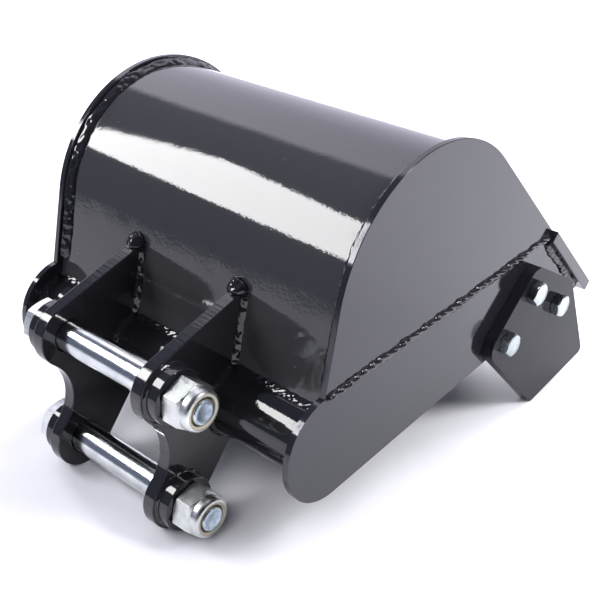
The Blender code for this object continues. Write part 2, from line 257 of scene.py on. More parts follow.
def orange_peel_group():
    """The small waves of a sprayed coat, the dust that settled in it, and cut lines under it."""
    group, given, result = node_group(
        "orange_peel",
        (
            ("Peel", "NodeSocketFloat", 0.00005),
            ("Waves", "NodeSocketFloat", 0.0002),
            ("Cuts", "NodeSocketFloat", 0.0),
            ("Dust", "NodeSocketFloat", 0.5),
        ),
        (("Normal", "NodeSocketVector"), ("Dust", "NodeSocketFloat"), ("Haze", "NodeSocketFloat")),
    )
    nodes, links = group.nodes, group.links
    place = nodes.new("ShaderNodeTexCoord")
    across = nodes.new("ShaderNodeMapping")
    across.inputs["Scale"].default_value = (0.04, 1, 1)
    links.new(place.outputs["Object"], across.inputs["Vector"])
    normal = None
    for socket, scale, detail, source in (
        ("Waves", 34, 1, place.outputs["Object"]),
        ("Peel", 420, 2, place.outputs["Object"]),
        ("Cuts", 520, 3, across.outputs["Vector"]),
    ):
        texture = nodes.new("ShaderNodeTexNoise")
        texture.inputs["Scale"].default_value = scale
        texture.inputs["Detail"].default_value = detail
        links.new(source, texture.inputs["Vector"])
        bump = nodes.new("ShaderNodeBump")
        links.new(given.outputs[socket], bump.inputs["Distance"])
        links.new(texture.outputs["Fac"], bump.inputs["Height"])
        if normal:
            links.new(normal, bump.inputs["Normal"])
        normal = bump.outputs["Normal"]
    specks = nodes.new("ShaderNodeTexVoronoi")
    specks.inputs["Scale"].default_value = 95
    links.new(place.outputs["Object"], specks.inputs["Vector"])
    near = nodes.new("ShaderNodeMapRange")
    near.inputs["From Min"].default_value = 0.08
    near.inputs["From Max"].default_value = 0.05
    links.new(specks.outputs["Distance"], near.inputs["Value"])
    chosen = nodes.new("ShaderNodeSeparateColor")
    links.new(specks.outputs["Color"], chosen.inputs[0])
    rare = nodes.new("ShaderNodeMath")
    rare.operation = "GREATER_THAN"
    rare.inputs[1].default_value = 0.92
    links.new(chosen.outputs[0], rare.inputs[0])
    dust = nodes.new("ShaderNodeMath")
    dust.operation = "MULTIPLY"
    links.new(near.outputs[0], dust.inputs[0])
    links.new(rare.outputs[0], dust.inputs[1])
    amount = nodes.new("ShaderNodeMath")
    amount.operation = "MULTIPLY"
    links.new(dust.outputs[0], amount.inputs[0])
    links.new(given.outputs["Dust"], amount.inputs[1])
    haze = nodes.new("ShaderNodeTexNoise")
    haze.inputs["Scale"].default_value = 11
    haze.inputs["Detail"].default_value = 6
    links.new(place.outputs["Object"], haze.inputs["Vector"])
    links.new(normal, result.inputs["Normal"])
    links.new(amount.outputs[0], result.inputs["Dust"])
    links.new(haze.outputs["Fac"], result.inputs["Haze"])
    return group


def mix_colour(nodes, links, factor, first, second):
    """A colour that goes from first to second as a mask goes from nought to one. The mixer's
    colour sockets come after those for numbers and vectors."""
    mix = nodes.new("ShaderNodeMix")
    mix.data_type = "RGBA"
    mix.inputs[6].default_value = (*first, 1)
    mix.inputs[7].default_value = (*second, 1)
    links.new(factor, mix.inputs[0])
    return mix.outputs[2]


def spread_value(nodes, links, value, low, high):
    """A mask from nought to one, spread between two values."""
    spread = nodes.new("ShaderNodeMapRange")
    spread.inputs["To Min"].default_value = low
    spread.inputs["To Max"].default_value = high
    links.new(value, spread.inputs["Value"])
    return spread.outputs[0]


def enamel(name, peel, waves, dust, gloss, shine=0.5, cuts=0.0, shade=ENAMEL, tint=(1, 1, 1)):
    """Sprayed enamel: depths of its peel, waves and cut lines, amount of dust, and lowest
    roughness, then how strongly and in what tint it mirrors."""
    made = bpy.data.materials.new(name)
    made.use_nodes = True
    nodes, links = made.node_tree.nodes, made.node_tree.links
    shader = nodes["Principled BSDF"]
    shader.inputs["IOR"].default_value = 1.52
    shader.inputs["Specular IOR Level"].default_value = shine
    shader.inputs["Specular Tint"].default_value = (*tint, 1)
    film = nodes.new("ShaderNodeGroup")
    film.node_tree = orange_peel
    film.inputs["Peel"].default_value = peel
    film.inputs["Waves"].default_value = waves
    film.inputs["Cuts"].default_value = cuts
    film.inputs["Dust"].default_value = dust
    colour = mix_colour(nodes, links, film.outputs["Dust"], shade, DUST)
    links.new(colour, shader.inputs["Base Color"])
    roughness = spread_value(nodes, links, film.outputs["Haze"], gloss, gloss + 0.05)
    links.new(roughness, shader.inputs["Roughness"])
    links.new(film.outputs["Normal"], shader.inputs["Normal"])
    return made


orange_peel = orange_peel_group()
black_enamel = enamel("black_enamel", 0.00004, 0.00018, 0.6, 0.035)
# The shell gets a lighter copy of the black enamel, which is painted light on its flats.
shell_painted_light_enamel = enamel("shell_painted_light_enamel", 0.00004, 0.00018, 0.6, 0.035, shade=SHELL_PAINTED_LIGHT_SHADE)
plate_enamel = enamel("plate_enamel", 0.00002, 0.00008, 0.4, 0.06, 0.56, tint=(0.93, 0.92, 1))


def oriented(shape):
    """The same body with all its faces outward."""
    bmesh.ops.recalc_face_normals(shape, faces=shape.faces)
    return shape


def hang(name, shape, finish, body, replaced, corner, bevel):
    """Turns a drawn body into a finished piece in its place on the bucket. Edges sharper than the
    corner angle stay sharp, or are rounded by the bevel."""
    oriented(shape)
    mesh = bpy.data.meshes.new(name)
    shape.to_mesh(mesh)
    shape.free()
    mesh.shade_smooth()
    mesh.set_sharp_from_angle(angle=math.radians(corner))
    mesh.materials.append(finish)
    piece = bpy.data.objects.new(name, mesh)
    bpy.context.scene.collection.objects.link(piece)
    if bevel:
        rounding = piece.modifiers.new("rounding", "BEVEL")
        rounding.width = bevel
        rounding.segments = 3
        rounding.limit_method = "ANGLE"
        rounding.angle_limit = math.radians(corner)
        rounding.harden_normals = True
    piece.matrix_world = stance
    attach(piece, body)
    if replaced:
        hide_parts(*replaced)
    return piece


def finish_faces(piece, finish, square_to_x):
    """Gives a second finish to the faces that are square to X, or to the ones that aren't."""
    mesh = piece.data
    mesh.materials.append(finish)
    for face in mesh.polygons:
        if (abs(face.normal.x) > 0.7) == square_to_x:
            face.material_index = 1


def outline_prism(outline, low, high, cuts=1):
    """A flat body with this side outline between two values of X, cut across at even steps."""
    shape = bmesh.new()
    rings = []
    for i in range(cuts + 1):
        x = low + (high - low) * i / cuts
        rings.append([shape.verts.new((x, point.x, point.y)) for point in outline])
    shape.faces.new(rings[0])
    shape.faces.new(rings[-1])
    for first, second in zip(rings, rings[1:]):
        for i in range(len(outline)):
            j = (i + 1) % len(outline)
            shape.faces.new((first[i], first[j], second[j], second[i]))
    return shape


def shell_outline():
    """From the torque tube up and over to the cutting edge, and back along the inner face."""
    tube_distance = TUBE_CENTRE.dot(direction(BACK_FLAT_ANGLE + 90))
    back_end = tube_distance - TUBE_RADIUS - GAP
    front_end = EDGE_START - GAP
    centre = Vector((0, 0))
    outline = [flat_point(BACK_FLAT_ANGLE, SHELL_OUTER, back_end)]
    outline += arc(centre, SHELL_OUTER, BACK_FLAT_ANGLE, FRONT_FLAT_ANGLE, 1)
    outline.append(flat_point(FRONT_FLAT_ANGLE, SHELL_OUTER, front_end))
    outline.append(flat_point(FRONT_FLAT_ANGLE, SHELL_INNER, front_end))
    outline += arc(centre, SHELL_INNER, FRONT_FLAT_ANGLE, BACK_FLAT_ANGLE, 1)
    outline.append(flat_point(BACK_FLAT_ANGLE, SHELL_INNER, back_end))
    return outline


def painted(name, shape, replaced, bevel=0.0, finish=black_enamel, corner=30):
    """An enamelled piece of the welded bucket."""
    return hang(name, shape, finish, "root", replaced, corner, bevel)


sheet = outline_prism(shell_outline(), -PLATE_INNER, PLATE_INNER)
painted("shell_sheet", sheet, ["rolled_shell"], finish=shell_painted_light_enamel)


# The torque tube: a steel pipe, 56 mm across with a 4 mm wall, that runs across the back under
# the shell's lower end. It is welded to the shell and the side plates, and carries the ears.

TUBE_WALL = 0.004
TUBE_FACETS = 120


def reach(angle, radius, flats, corner_angle):
    """How far a section reaches at an angle, for a round section or a hexagon cut by a round one."""
    if not flats:
        return radius
    from_flat = (angle - corner_angle) % 60 - 30
    return min(radius, flats / 2 / math.cos(math.radians(from_flat)))


def turned(sections, facets, centre, corner_angle=0, hollow=False):
    """A body along X through sections of (x, radius, across flats), with no flats on a round one.
    A radius may be a function of the angle. A hollow body's sections go out and back along its bore."""
    shape = bmesh.new()
    rings = []
    for x, radius, flats in sections:
        ring = []
        for i in range(facets):
            angle = corner_angle + i * 360 / facets
            size = radius(angle) if callable(radius) else radius
            point = centre + reach(angle, size, flats, corner_angle) * direction(angle)
            ring.append(shape.verts.new((x, point.x, point.y)))
        rings.append(ring)
    pairs = list(zip(rings, rings[1:]))
    if hollow:
        pairs.append((rings[-1], rings[0]))
    for first, second in pairs:
        for i in range(facets):
            j = (i + 1) % facets
            shape.faces.new((first[i], first[j], second[j], second[i]))
    if not hollow:
        shape.faces.new(rings[0])
        shape.faces.new(rings[-1])
    return shape


tube_sections = (
    (-PLATE_INNER, TUBE_RADIUS, 0),
    (PLATE_INNER, TUBE_RADIUS, 0),
    (PLATE_INNER, TUBE_RADIUS - TUBE_WALL, 0),
    (-PLATE_INNER, TUBE_RADIUS - TUBE_WALL, 0),
)
painted("tube_pipe", turned(tube_sections, TUBE_FACETS, TUBE_CENTRE, hollow=True), ["torque_tube"])


# The side plates: on each side an upper and a lower plate of 5 mm steel, flame cut and welded
# together along a seam. They stand proud of the shell and close the torque tube's ends.

SEAM_MIDDLE = Vector((0.0047, -0.0286))
MOUTH_ANGLE = 6.4
ROUND_END_RADIUS = 0.0418
EDGE_THICKNESS = 0.010
PLATE_ROUNDING = 0.0005
BOLT_CENTRES = (
    Vector((0.1252, -0.0508)),
    Vector((0.1663, -0.0789)),
    Vector((0.0903, -0.0834)),
)
BOLT_HOLE_RADIUS = 0.0063
BOLT_HOLE_FACETS = 48
SIDES = (("right", 1), ("left", -1))


def notch():
    """Where the upper side plate's back edge meets the lower side plate's round end."""
    back_edge = BOWL_RADIUS - TUBE_CENTRE.dot(direction(BACK_FLAT_ANGLE))
    along = math.sqrt(ROUND_END_RADIUS**2 - back_edge**2)
    distance = TUBE_CENTRE.dot(direction(BACK_FLAT_ANGLE + 90)) - along
    return flat_point(BACK_FLAT_ANGLE, BOWL_RADIUS, distance)


def edge_back_corner():
    """Where the seam between the side plates ends, at the cutting edge's inner face."""
    return flat_point(FRONT_FLAT_ANGLE, BOWL_RADIUS - EDGE_THICKNESS - GAP, EDGE_START - GAP)


def upper_plate_outline():
    outline = [notch()]
    outline += arc(Vector((0, 0)), BOWL_RADIUS, BACK_FLAT_ANGLE, FRONT_FLAT_ANGLE, 1)
    outline.append(flat_point(FRONT_FLAT_ANGLE, BOWL_RADIUS, EDGE_START - GAP))
    outline.append(edge_back_corner())
    outline.append(SEAM_MIDDLE)
    return outline


def lower_plate_outline():
    """A round end about the torque tube, then the mouth's edge, and back along the seam."""
    seam_drop = Vector((0, -GAP))
    start = heading(notch() + seam_drop - TUBE_CENTRE)
    end = 270 + MOUTH_ANGLE
    outline = arc(TUBE_CENTRE, ROUND_END_RADIUS, start % 360, end, 2)
    mouth_run = direction(MOUTH_ANGLE)
    front = direction(FRONT_FLAT_ANGLE)
    height = BOWL_RADIUS - EDGE_THICKNESS - GAP
    run = (height - outline[-1].dot(front)) / mouth_run.dot(front)
    outline.append(outline[-1] + run * mouth_run)
    outline.append(edge_back_corner() + GAP * direction(FRONT_FLAT_ANGLE - 90))
    outline.append(SEAM_MIDDLE + seam_drop)
    return outline


def spread_sides(side, inner, outer):
    """Two distances from the bucket's middle as values of X on this side, the lower one first."""
    return min(side * inner, side * outer), max(side * inner, side * outer)


def drill(shape, centre, radius, facets):
    """Cuts a round hole along X right through a body."""
    body = bpy.data.meshes.new("drilled")
    shape.to_mesh(body)
    shape.free()
    blank = bpy.data.objects.new("drilled", body)
    length = HALF_WIDTH + 0.05
    tool = oriented(turned(((-length, radius, 0), (length, radius, 0)), facets, centre))
    drill_mesh = bpy.data.meshes.new("drill")
    tool.to_mesh(drill_mesh)
    tool.free()
    bit = bpy.data.objects.new("drill", drill_mesh)
    bpy.context.scene.collection.objects.link(blank)
    bpy.context.scene.collection.objects.link(bit)
    cut = blank.modifiers.new("cut", "BOOLEAN")
    cut.operation = "DIFFERENCE"
    cut.object = bit
    result = bmesh.new()
    result.from_object(blank, bpy.context.evaluated_depsgraph_get())
    for used in (blank, bit):
        bpy.data.objects.remove(used)
    return result


for word, side in SIDES:
    low, high = spread_sides(side, PLATE_INNER, HALF_WIDTH)
    upper = outline_prism(upper_plate_outline(), low, high)
    painted(f"upper_plate_{word}", upper, [f"upper_side_plate_{word}"], PLATE_ROUNDING, plate_enamel)
    lower = oriented(outline_prism(lower_plate_outline(), low, high))
    for hole in BOLT_CENTRES:
        lower = drill(lower, hole, BOLT_HOLE_RADIUS, BOLT_HOLE_FACETS)
    painted(f"lower_plate_{word}", lower, [f"lower_side_plate_{word}"], PLATE_ROUNDING, plate_enamel)


# The cutting edge: a flat bar of 100 by 10 mm wear steel across the mouth, proud of both side
# plates, with sawn ends.

EDGE_END = 0.2232
EDGE_OVERHANG = 0.006
EDGE_OUT = HALF_WIDTH + EDGE_OVERHANG
EDGE_ROUNDING = 0.0008

edge_inner = BOWL_RADIUS - EDGE_THICKNESS
edge_outline = [
    flat_point(FRONT_FLAT_ANGLE, BOWL_RADIUS, EDGE_START),
    flat_point(FRONT_FLAT_ANGLE, BOWL_RADIUS, EDGE_END),
    flat_point(FRONT_FLAT_ANGLE, edge_inner, EDGE_END),
    flat_point(FRONT_FLAT_ANGLE, edge_inner, EDGE_START),
]
edge_bar = outline_prism(edge_outline, -EDGE_OUT, EDGE_OUT)
painted("edge_bar", edge_bar, ["cutting_edge"], EDGE_ROUNDING, plate_enamel)


# The ears: two 11 mm plates, each with a round lobe for each pin and a scallop between them.
# They are welded to the shell and the torque tube, and painted over their flame cut edges.

EAR_INNER = 0.0495
EAR_OUTER = 0.0605
LOBE_RADIUS = 0.025
SCALLOP_RADIUS = 0.038
EAR_TOP_SLOPE = 17
EAR_BACK_SLOPE = 50.2
PIN_BORE_RADIUS = 0.0128
PIN_BORE_FACETS = 72
EAR_ROUNDING = 0.0009


def ear_outline():
    """Two round lobes with a scallop between them, and two straight edges back to the bucket."""
    between = LOWER_PIN_CENTRE - UPPER_PIN_CENTRE
    middle = (UPPER_PIN_CENTRE + LOWER_PIN_CENTRE) / 2
    reach_out = math.sqrt((LOBE_RADIUS + SCALLOP_RADIUS) ** 2 - (between.length / 2) ** 2)
    scallop = middle - reach_out * Vector((-between.y, between.x)).normalized()
    to_upper = heading(UPPER_PIN_CENTRE - scallop)
    to_lower = heading(LOWER_PIN_CENTRE - scallop)
    outline = arc(LOWER_PIN_CENTRE, LOBE_RADIUS, EAR_BACK_SLOPE - 90, to_lower - 180, 3)
    outline += arc(scallop, SCALLOP_RADIUS, to_lower, to_upper, 3)[1:-1]
    outline += arc(UPPER_PIN_CENTRE, LOBE_RADIUS, to_upper + 180, EAR_TOP_SLOPE + 90, 3)
    back = direction(BACK_FLAT_ANGLE)
    top_run = direction(EAR_TOP_SLOPE)
    height = SHELL_OUTER + GAP
    run = (height - outline[-1].dot(back)) / top_run.dot(back)
    outline.append(outline[-1] + run * top_run)
    radius = TUBE_RADIUS + GAP
    tube_top = BACK_FLAT_ANGLE - math.degrees(math.acos((height - TUBE_CENTRE.dot(back)) / radius))
    across = direction(EAR_BACK_SLOPE - 90)
    tube_side = LOBE_RADIUS + (LOWER_PIN_CENTRE - TUBE_CENTRE).dot(across)
    tube_foot = EAR_BACK_SLOPE - 90 - math.degrees(math.acos(tube_side / radius))
    outline += arc(TUBE_CENTRE, radius, tube_top, tube_foot % 360, 4)
    return outline


cut_enamel = enamel("cut_enamel", 0.00003, 0.0002, 0.6, 0.05, 0.6, 0.00008)

for word, side in SIDES:
    low, high = spread_sides(side, EAR_INNER, EAR_OUTER)
    ear = oriented(outline_prism(ear_outline(), low, high))
    for hole in (UPPER_PIN_CENTRE, LOWER_PIN_CENTRE):
        ear = drill(ear, hole, PIN_BORE_RADIUS, PIN_BORE_FACETS)
    piece = painted(f"ear_plate_{word}", ear, [f"ear_{word}"], EAR_ROUNDING)
    finish_faces(piece, cut_enamel, False)


# The bosses: short turned collars welded on the ears' outer faces, which widen the pins' bores.

BOSS_RADIUS = 0.0215
BOSS_LENGTH = 0.011
BOSS_END = EAR_OUTER + BOSS_LENGTH
BOSS_FACETS = 96
BOSS_ROUNDING = 0.0009

for word, side in SIDES:
    boss = (
        (side * EAR_OUTER, BOSS_RADIUS, 0),
        (side * BOSS_END, BOSS_RADIUS, 0),
        (side * BOSS_END, PIN_BORE_RADIUS, 0),
        (side * EAR_OUTER, PIN_BORE_RADIUS, 0),
    )
    for place, centre in (("upper", UPPER_PIN_CENTRE), ("lower", LOWER_PIN_CENTRE)):
        collar = turned(boss, BOSS_FACETS, centre, hollow=True)
        painted(f"{place}_collar_{word}", collar, [f"{place}_boss_{word}"], BOSS_ROUNDING)


# The welds: beads laid by hand, painted over with everything else. Each is a row of overlapping
# scales, uneven in width and height, and most fill the corner between two pieces.

WELD_STEP = 0.0007
WELD_COLUMNS = 12
WELD_FOOT_SHARE = 0.3
WELD_FOOT_DEPTH = 0.0012
LUMP_SCALE = 190
SEAM_BEAD = dict(width=0.0062, rise=0.0030, pitch=0.0085, skew=0.7, rough=0.0002)
RIM_BEAD = dict(rise=0.0010, pitch=0.013, lift=0.0002, skew=0.4, rough=0.0010)
RIM_WIDTHS = {"right": 0.0046, "left": 0.0088}
RIM_HEIGHT = 0.0042
INNER_RIM_BEAD = dict(width=0.0070, rise=0.0012, pitch=0.010)
INNER_RIM_SIZE = 0.0050
TUBE_END_BEAD = dict(width=0.0075, rise=0.0014, pitch=0.010, lift=0.0018)
TUBE_BEAD = dict(width=0.0100, rise=0.0016, pitch=0.0085, lift=0.0012)
MIDDLE_TUBE_BEAD = dict(width=0.0080, rise=0.0014, pitch=0.0085, lift=0.0012)
EAR_BEAD = dict(width=0.0085, rise=0.0010, pitch=0.013, lift=0.0018, skew=0.4)
EAR_TOP_BEAD = dict(width=0.0160, rise=0.0036, pitch=0.012, lift=0.0044, skew=0.3, rough=0.0014)
EAR_FOOT_BEAD = dict(width=0.0080, rise=0.0020, pitch=0.006, lift=0.0016)
BOSS_BEAD = dict(width=0.0042, rise=0.0007, pitch=0.009, lift=0.0008, skew=0.6, rough=0.0004)
EDGE_END_BEAD = dict(width=0.0080, rise=0.0022, pitch=0.007, lift=0.0004, skew=0.3, rough=0.0002)
EDGE_TOP_BEAD = dict(width=0.0090, rise=0.0016, pitch=0.009, lift=0.0022)
EDGE_UNDER_BEAD = dict(width=0.0100, rise=0.0022, pitch=0.009)


def weld_section(shape, place, across, out, half, rise, lift, phase, skew, rough):
    """One section of a bead: a crowned top over a foot that is sunk in the joint."""
    ring = []
    for j in range(WELD_COLUMNS + 1):
        x = 2 * j / WELD_COLUMNS - 1
        scale = (phase + skew * x + 0.35 * x * x) % 1
        ripple = 0.62 + 0.38 * math.sin(math.pi * min(scale * 1.2, 1)) ** 0.6
        crown = (1 - x * x) ** 0.55 * ripple
        point = place + across * half * x + out * (lift + rise * crown)
        point += out * rough * noise.noise(point * LUMP_SCALE) * (1 - x * x)
        ring.append(shape.verts.new(point))
    for share in (WELD_FOOT_SHARE, -WELD_FOOT_SHARE):
        ring.append(shape.verts.new(place + across * half * share - out * WELD_FOOT_DEPTH))
    return ring


def wandering(draw, count, low, high):
    """A smooth run of uneven values, one for each scale of a bead."""
    values = [draw.uniform(low, high) for _ in range(count + 2)]

    def at(distance):
        number = int(distance)
        share = distance - number
        soft = share * share * (3 - 2 * share)
        return values[number] * (1 - soft) + values[number + 1] * soft

    return at


def weld(name, path, seed, width, rise, pitch, lift=0.0, skew=0.8, rough=0.0006):
    """A bead with round ends along a path. A path is a route, which gives a place, a direction
    across and a direction out for each distance along it, and the route's length."""
    route, length = path
    draw = random.Random(seed)
    shape = bmesh.new()
    count = max(8, round(length / WELD_STEP))
    scales = int(length / pitch) + 2
    widths = wandering(draw, scales, 0.8, 1.2)
    rises = wandering(draw, scales, 0.7, 1.25)
    sways = wandering(draw, scales, -0.1, 0.1)
    rings = []
    for i in range(count + 1):
        distance = length * i / count
        place, across, out = route(distance)
        number = distance / pitch
        end = min(1, (min(distance, length - distance) + 0.0003) / (0.6 * width))
        taper = math.sqrt(1 - (1 - end) ** 2)
        half = width / 2 * widths(number) * taper
        high = rise * rises(number) * taper
        place = place + across * sways(number) * width
        up = lift * taper
        lumps = rough * taper
        rings.append(weld_section(shape, place, across, out, half, high, up, number, skew, lumps))
    for first, second in zip(rings, rings[1:]):
        for i in range(len(first)):
            j = (i + 1) % len(first)
            shape.faces.new((first[i], first[j], second[j], second[i]))
    shape.faces.new(rings[0])
    shape.faces.new(rings[-1])
    return painted(name, shape, None, corner=70, finish=weld_enamel)


def in_space(x, point):
    """A point of the side view, at this X."""
    return Vector((x, point.x, point.y))


def facing(angle):
    """The outward direction of a face, square to the side view, that faces this way in it."""
    return in_space(0, direction(angle))


def corner_route(start, end, first_face, second_face):
    """A route along the straight corner between two faces, given by their outward directions."""
    run = (end - start).normalized()
    out = (first_face + second_face).normalized()
    across = run.cross(out).normalized()

    def route(distance):
        return start + run * distance, across, out

    return route, (end - start).length


def crosswise_route(start_x, end_x, point, first_face, second_face):
    """A corner route straight along X, through one point of the side view."""
    return corner_route(in_space(start_x, point), in_space(end_x, point), first_face, second_face)


def ring_route(x, centre, radius, start, end, face):
    """Round the corner between a round body along X and a flat face square to it."""

    def route(distance):
        angle = start + math.copysign(math.degrees(distance / radius), end - start)
        radial = facing(angle)
        out = (radial + face).normalized()
        place = in_space(x, centre + radius * direction(angle))
        return place, (radial - face).normalized(), out

    return route, radius * math.radians(abs(end - start))


def seam_route(side):
    """Along the seam between the two side plates: two straight runs that meet at a slight bend."""
    start_inset = 0.0015
    end_overrun = 0.004
    start = notch() + Vector((start_inset, 0))
    end = edge_back_corner() + end_overrun * direction(FRONT_FLAT_ANGLE)
    first = (SEAM_MIDDLE - start).length
    out = Vector((side, 0, 0))

    def route(distance):
        if distance < first:
            run = (SEAM_MIDDLE - start).normalized()
            flat = start + run * distance
        else:
            run = (end - SEAM_MIDDLE).normalized()
            flat = SEAM_MIDDLE + run * (distance - first)
        return in_space(side * HALF_WIDTH, flat), Vector((0, -run.y, run.x)), out

    return route, first + (end - SEAM_MIDDLE).length


def rim_route(side, radius, outward, wide, tall):
    """Round the corner between one face of the shell and a side plate's inner face, for a bead
    that is wide along the shell and tall up the plate."""
    back_run = 0.058
    front_run = EDGE_START - 0.006
    arc_length = radius * math.radians(BACK_FLAT_ANGLE - FRONT_FLAT_ANGLE)
    inward = Vector((-side, 0, 0))

    def route(distance):
        angle = FRONT_FLAT_ANGLE
        flat = flat_point(angle, radius, distance - back_run - arc_length)
        if distance < back_run:
            angle = BACK_FLAT_ANGLE
            flat = flat_point(angle, radius, back_run - distance)
        elif distance < back_run + arc_length:
            angle = BACK_FLAT_ANGLE - math.degrees((distance - back_run) / radius)
            flat = radius * direction(angle)
        up = outward * facing(angle)
        place = in_space(side * PLATE_INNER, flat) + inward * wide / 2 + up * tall / 2
        across = (up * tall - inward * wide).normalized()
        return place, across, (up * wide + inward * tall).normalized()

    return route, back_run + arc_length + front_run


def tube_joint():
    """The angle on the torque tube at which the shell's outer face meets it."""
    offset = SHELL_OUTER - TUBE_CENTRE.dot(direction(BACK_FLAT_ANGLE))
    return BACK_FLAT_ANGLE - math.degrees(math.acos(offset / TUBE_RADIUS))


def ear_top():
    """Where an ear's upper edge runs into the shell."""
    return max(ear_outline(), key=lambda point: point.dot(direction(BACK_FLAT_ANGLE - 90)))


weld_enamel = enamel("weld_enamel", 0.00002, 0.0003, 0.9, 0.03)
shell_face = facing(BACK_FLAT_ANGLE)
front_face = facing(FRONT_FLAT_ANGLE)
joint_angle = tube_joint()
joint = TUBE_CENTRE + TUBE_RADIUS * direction(joint_angle)
tube_face = facing(joint_angle)
top = ear_top()
foot = ear_outline()[-1]
foot_angle = heading(foot - TUBE_CENTRE) % 360
corner_line = edge_inner - 0.0028
edge_weld_start = flat_point(FRONT_FLAT_ANGLE, corner_line, EDGE_START + 0.002)
edge_weld_end = flat_point(FRONT_FLAT_ANGLE, corner_line, EDGE_END - 0.010)

for word, side in SIDES:
    outward = Vector((side, 0, 0))
    weld(f"seam_weld_{word}", seam_route(side), 3 + side, **SEAM_BEAD)
    wide = RIM_WIDTHS[word]
    path = rim_route(side, SHELL_OUTER, 1, wide, RIM_HEIGHT)
    weld(f"rim_weld_{word}", path, 8 + side, width=wide + 0.0008, **RIM_BEAD)
    path = rim_route(side, SHELL_INNER, -1, INNER_RIM_SIZE, INNER_RIM_SIZE)
    weld(f"inner_rim_weld_{word}", path, 18 + side, **INNER_RIM_BEAD)

    plate = side * PLATE_INNER
    path = ring_route(plate, TUBE_CENTRE, TUBE_RADIUS, joint_angle + 4, 325, -outward)
    weld(f"tube_ring_weld_{word}", path, 28 + side, **TUBE_END_BEAD)
    start = side * (EAR_OUTER + 0.002)
    end = side * (PLATE_INNER - 0.003)
    path = crosswise_route(start, end, joint, shell_face, tube_face)
    weld(f"tube_weld_{word}", path, 38 + side, **TUBE_BEAD)

    for place, x, face in (("inner", EAR_INNER, -outward), ("outer", EAR_OUTER, outward)):
        start = in_space(side * x, top)
        end = in_space(side * x, joint)
        path = corner_route(start, end, shell_face, face)
        weld(f"ear_{place}_weld_{word}", path, 48 + side, **EAR_BEAD)
        path = ring_route(side * x, TUBE_CENTRE, TUBE_RADIUS, joint_angle, foot_angle, face)
        weld(f"ear_{place}_ring_{word}", path, 58 + side, **EAR_BEAD)

    for place, centre in (("upper", UPPER_PIN_CENTRE), ("lower", LOWER_PIN_CENTRE)):
        path = ring_route(side * EAR_OUTER, centre, BOSS_RADIUS, 20, 379, outward)
        weld(f"{place}_boss_weld_{word}", path, 98 + side, **BOSS_BEAD)

    start = side * (EAR_INNER - 0.003)
    end = side * (EAR_OUTER + 0.003)
    path = crosswise_route(start, end, top, shell_face, facing(100))
    weld(f"ear_top_weld_{word}", path, 68 + side, **EAR_TOP_BEAD)
    start = side * (EAR_INNER - 0.002)
    end = side * (EAR_OUTER + 0.002)
    path = crosswise_route(start, end, foot, facing(EAR_BACK_SLOPE - 90), facing(foot_angle))
    weld(f"ear_foot_weld_{word}", path, 78 + side, **EAR_FOOT_BEAD)

    start = in_space(side * HALF_WIDTH, edge_weld_start)
    end = in_space(side * HALF_WIDTH, edge_weld_end)
    path = corner_route(start, end, 5 * outward, -front_face)
    weld(f"edge_weld_{word}", path, 88 + side, **EDGE_END_BEAD)

path = crosswise_route(-EAR_INNER + 0.003, EAR_INNER - 0.003, joint, shell_face, tube_face)
weld("tube_weld_middle", path, 91, **MIDDLE_TUBE_BEAD)
edge_weld_reach = PLATE_INNER - 0.002
edge_back = facing(FRONT_FLAT_ANGLE + 90)
above = flat_point(FRONT_FLAT_ANGLE, SHELL_OUTER, EDGE_START)
path = crosswise_route(-edge_weld_reach, edge_weld_reach, above, front_face, edge_back)
weld("edge_top_weld", path, 93, **EDGE_TOP_BEAD)
under = flat_point(FRONT_FLAT_ANGLE, SHELL_INNER, EDGE_START)
path = crosswise_route(-edge_weld_reach, edge_weld_reach, under, -front_face, -front_face)
weld("edge_under_weld", path, 95, **EDGE_UNDER_BEAD)


# The side cutters: a five-sided plate of 10 mm wear steel on each side, flame cut, drilled and
# enamelled. Three bolts hold each one, so that a worn cutter can be changed.

CUTTER_THICKNESS = 0.010
CUTTER_ROUNDING = 0.0008
CUTTER_CORNERS = (
    (Vector((0.1287, -0.0286)), 0.016),
    (Vector((0.0645, -0.0846)), 0.014),
    (Vector((0.1427, -0.1680)), 0.004),
    (Vector((0.2280, -0.1530)), 0.005),
    (Vector((0.1907, -0.0656)), 0.004),
)


def rounded(corners, step):
    """An outline whose corners, given with their radii, are rounded."""
    outline = []
    for i, (corner, radius) in enumerate(corners):
        back = (corners[i - 1][0] - corner).normalized()
        on = (corners[(i + 1) % len(corners)][0] - corner).normalized()
        half = back.angle(on) / 2
        centre = corner + (back + on).normalized() * radius / math.sin(half)
        from_corner = radius / math.tan(half)
        start = heading(corner + back * from_corner - centre)
        end = heading(corner + on * from_corner - centre)
        turn = (end - start + 180) % 360 - 180
        outline += arc(centre, radius, start, start + turn, step)
    return outline


cutter_enamel = enamel("cutter_enamel", 0.00002, 0.00006, 0.3, 0.07, 0.10, tint=(0.9, 0.9, 1))

for word, side in SIDES:
    low, high = spread_sides(side, HALF_WIDTH + GAP, HALF_WIDTH + CUTTER_THICKNESS)
    cutter = oriented(outline_prism(rounded(CUTTER_CORNERS, 4), low, high))
    for hole in BOLT_CENTRES:
        cutter = drill(cutter, hole, BOLT_HOLE_RADIUS, BOLT_HOLE_FACETS)
    name = f"cutter_plate_{word}"
    painted(name, cutter, [f"side_cutter_{word}"], CUTTER_ROUNDING, cutter_enamel)


# The cutters' fasteners: M12 hexagon bolts from outside, with a plain washer and a nut inside the
# bucket. They are bright zinc plated, fitted after painting.

